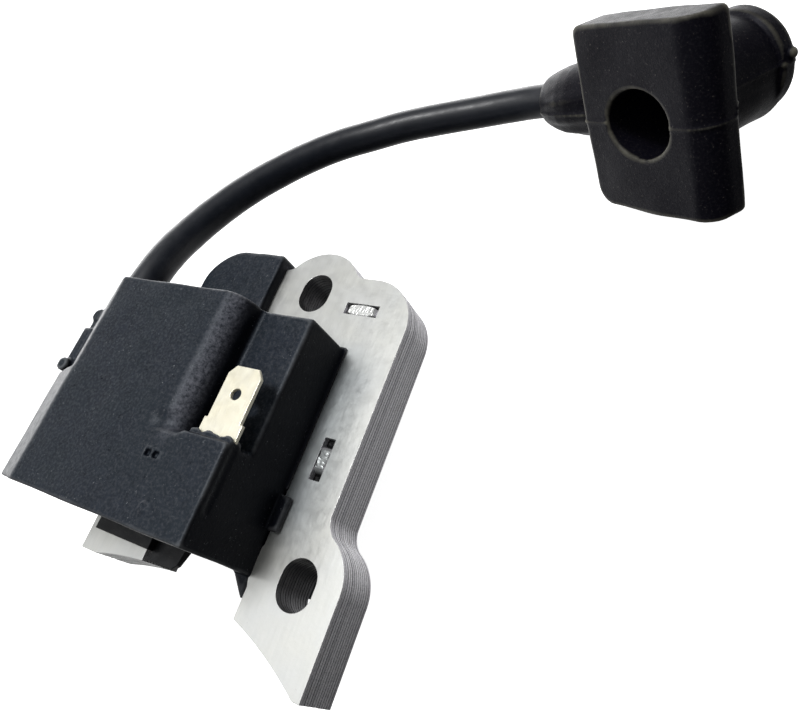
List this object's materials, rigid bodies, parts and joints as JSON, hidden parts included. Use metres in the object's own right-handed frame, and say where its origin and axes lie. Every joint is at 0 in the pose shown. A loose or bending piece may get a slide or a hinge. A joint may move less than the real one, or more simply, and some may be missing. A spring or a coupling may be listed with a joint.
{
  "type": "ignition coil",
  "caption": "Two-legged laminated ignition coil with a potted plastic case, kill-switch tab, high-tension lead and a flanged rubber spark plug boot.",
  "frame": {"origin": "centre of the core and case seen from above, on the plane of the case's open back rim, which the part lies on", "axes": "+Z square to the laminations, out of the core's front face; +Y along the legs from the pole faces to the yoke; +X from the leg inside the coil to the outer leg"},
  "size_m": [0.0825, 0.0925, 0.0317],
  "materials": {
    "steel": "satin",
    "case": "matt",
    "resin": "glossy",
    "bobbin": "matt",
    "bobbin_pale": "matt",
    "copper": "enamelled",
    "tape": "glossy",
    "board": "matt",
    "component": "matt",
    "ceramic": "matt",
    "brass": "satin",
    "rubber": "matt",
    "lead": "satin",
    "spring": "satin"
  },
  "bodies": {
    "root": {"core_laminations": "steel", "coil_case": "case", "potting_resin": "resin", "core_corner_cover": "case", "primary_bobbin": "bobbin", "primary_winding": "copper", "winding_tape": "tape", "secondary_bobbin": "bobbin_pale", "secondary_windings": "copper", "control_board": "board", "power_transistor": "component", "driver_transistor": "component", "board_resistors": "ceramic", "clamp_diode": "component", "board_capacitor": "ceramic", "kill_terminal": "brass", "ground_strip": "brass", "ht_pin": "brass", "lead_gland": "rubber", "ht_lead": "lead", "plug_boot": "rubber", "boot_spike": "brass", "plug_spring": "spring"}
  },
  "joints": []
}
